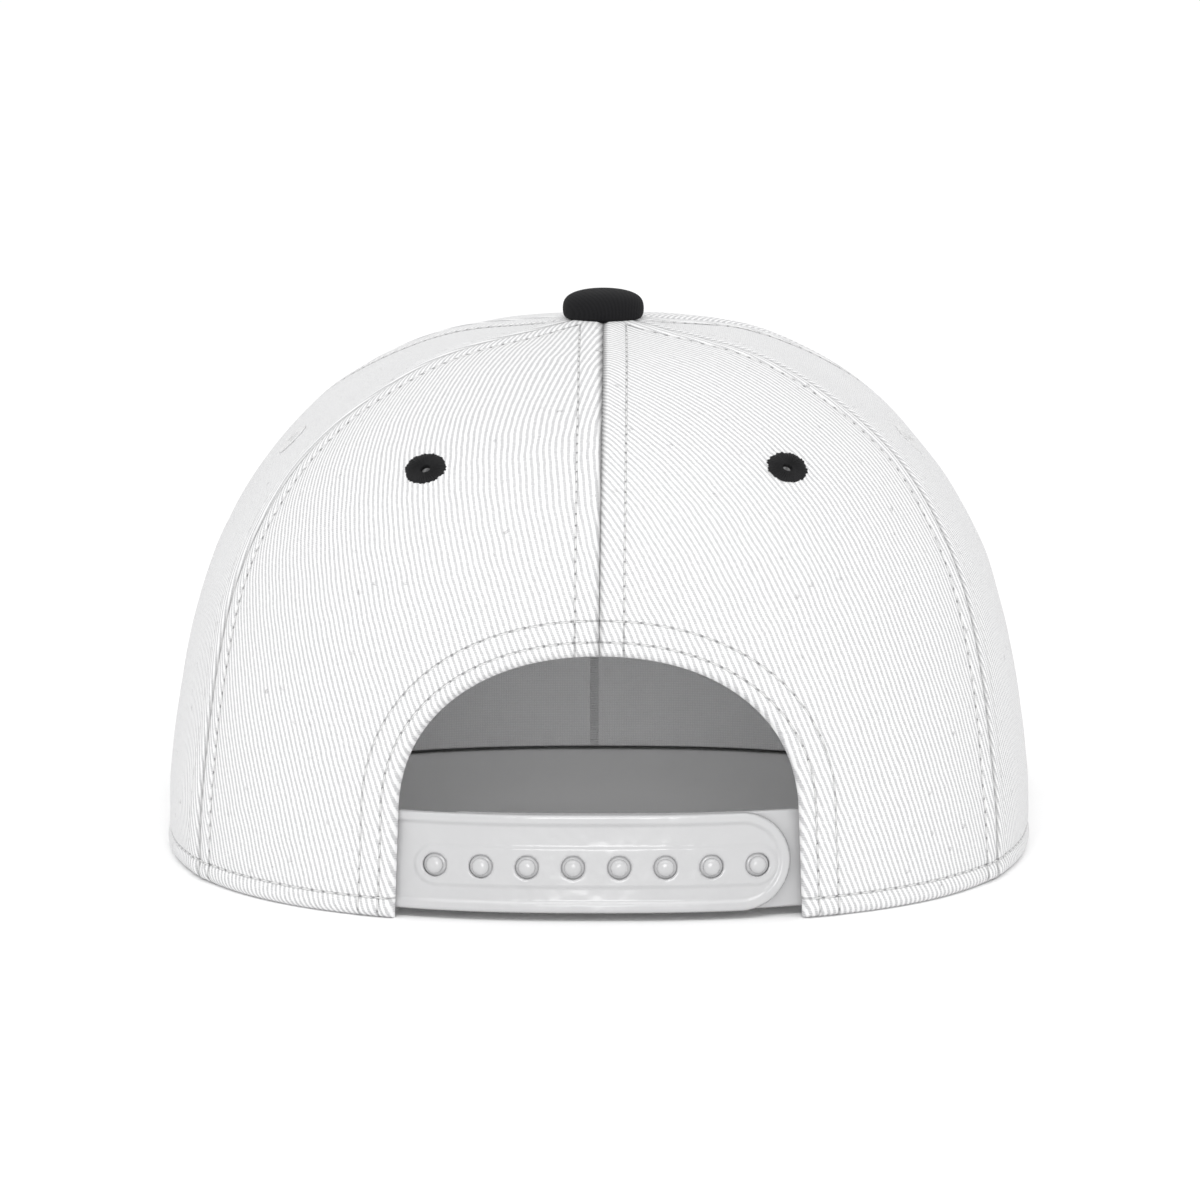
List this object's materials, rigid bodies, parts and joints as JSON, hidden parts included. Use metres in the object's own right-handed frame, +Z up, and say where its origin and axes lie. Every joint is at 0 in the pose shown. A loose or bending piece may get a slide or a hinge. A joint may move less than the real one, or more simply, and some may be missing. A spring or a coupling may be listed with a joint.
{
  "type": "snapback cap",
  "caption": "Panelled snapback cap with an arched back opening, a plastic snap strap, a flat stitched brim, eyelets and a cloth-covered button.",
  "frame": {"origin": "middle of the footprint, on the surface that the rim and brim rest on", "axes": "+Y towards the tip of the brim, +Z up, +X to the wearer's right"},
  "size_m": [0.1842, 0.2492, 0.1179],
  "materials": {
    "crown_cloth": "white twill, matte, double topstitched",
    "button_cloth": "black twill drawn over a button mould",
    "black_thread": "black embroidery thread, slight sheen",
    "white_thread": "white embroidery thread, slight sheen",
    "strap_plastic": "white moulded plastic, glossy",
    "brim_cloth": "black twill over a board, with rows of stitching",
    "band_cloth": "white cotton tape, matte"
  },
  "bodies": {
    "root": {"rear_left_panel": "crown_cloth", "rear_right_panel": "crown_cloth", "side_left_panel": "crown_cloth", "side_right_panel": "crown_cloth", "front_left_panel": "crown_cloth", "front_right_panel": "crown_cloth", "top_button": "button_cloth", "rear_left_eyelet": "black_thread", "rear_right_eyelet": "black_thread", "side_left_eyelet": "white_thread", "side_right_eyelet": "white_thread", "front_left_eyelet": "white_thread", "front_right_eyelet": "white_thread", "strap_outer": "strap_plastic", "strap_inner": "strap_plastic", "brim": "brim_cloth", "sweatband": "band_cloth"}
  },
  "joints": []
}
